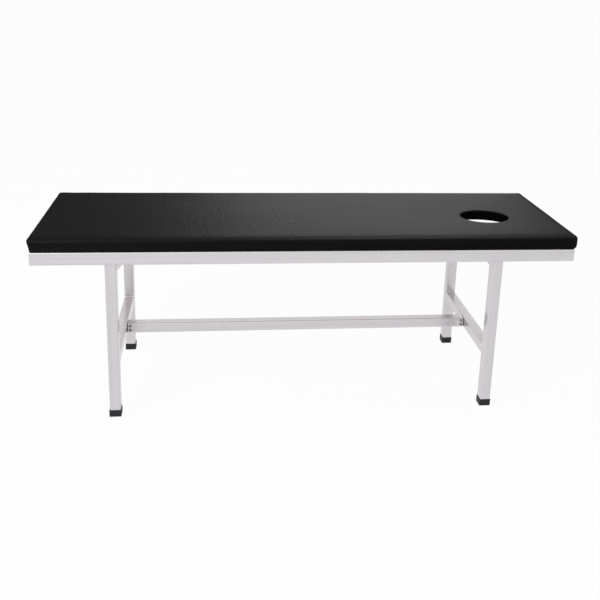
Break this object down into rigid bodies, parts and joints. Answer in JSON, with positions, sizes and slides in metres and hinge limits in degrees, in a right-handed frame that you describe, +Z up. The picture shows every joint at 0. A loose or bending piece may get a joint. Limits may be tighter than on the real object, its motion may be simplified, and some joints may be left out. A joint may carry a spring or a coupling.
{
  "type": "examination table",
  "caption": "Padded examination table with an oval face hole near its head end, on a welded rail frame and braced square-tube legs.",
  "frame": {"origin": "on the floor, under the middle of the top", "axes": "+X along the table towards the head end with the face hole, +Y across it towards the rear side, +Z up"},
  "size_m": [1.9, 0.6, 0.67],
  "materials": {
    "leather": "soft grained, black",
    "lining": "matt, black",
    "foam": "open-cell upholstery foam",
    "plywood": "bare plywood",
    "steel": "satin stainless",
    "cap": "moulded, black",
    "zinc": "zinc plated",
    "dark_screw": "black oxide"
  },
  "bodies": {
    "root": {"upholstery_cover": "leather", "face_hole_liner": "lining", "foam_core": "foam", "base_board": "plywood", "front_side_rail": "steel", "rear_side_rail": "steel", "foot_end_rail": "steel", "head_end_rail": "steel", "foot_cross_rail": "steel", "middle_cross_rail": "steel", "head_cross_rail": "steel", "foot_front_leg": "steel", "foot_rear_leg": "steel", "head_front_leg": "steel", "head_rear_leg": "steel", "foot_front_leg_bracket": "steel", "foot_rear_leg_bracket": "steel", "head_front_leg_bracket": "steel", "head_rear_leg_bracket": "steel", "foot_front_floor_cap": "cap", "foot_rear_floor_cap": "cap", "head_front_floor_cap": "cap", "head_rear_floor_cap": "cap", "foot_crossbar": "steel", "head_crossbar": "steel", "stretcher": "steel", "foot_stretcher_socket": "steel", "head_stretcher_socket": "steel", "stretcher_screws": "dark_screw", "stretcher_nuts": "zinc", "bracket_bolts": "zinc", "bracket_washers": "zinc", "bracket_nuts": "zinc", "board_screws": "zinc"}
  },
  "joints": []
}
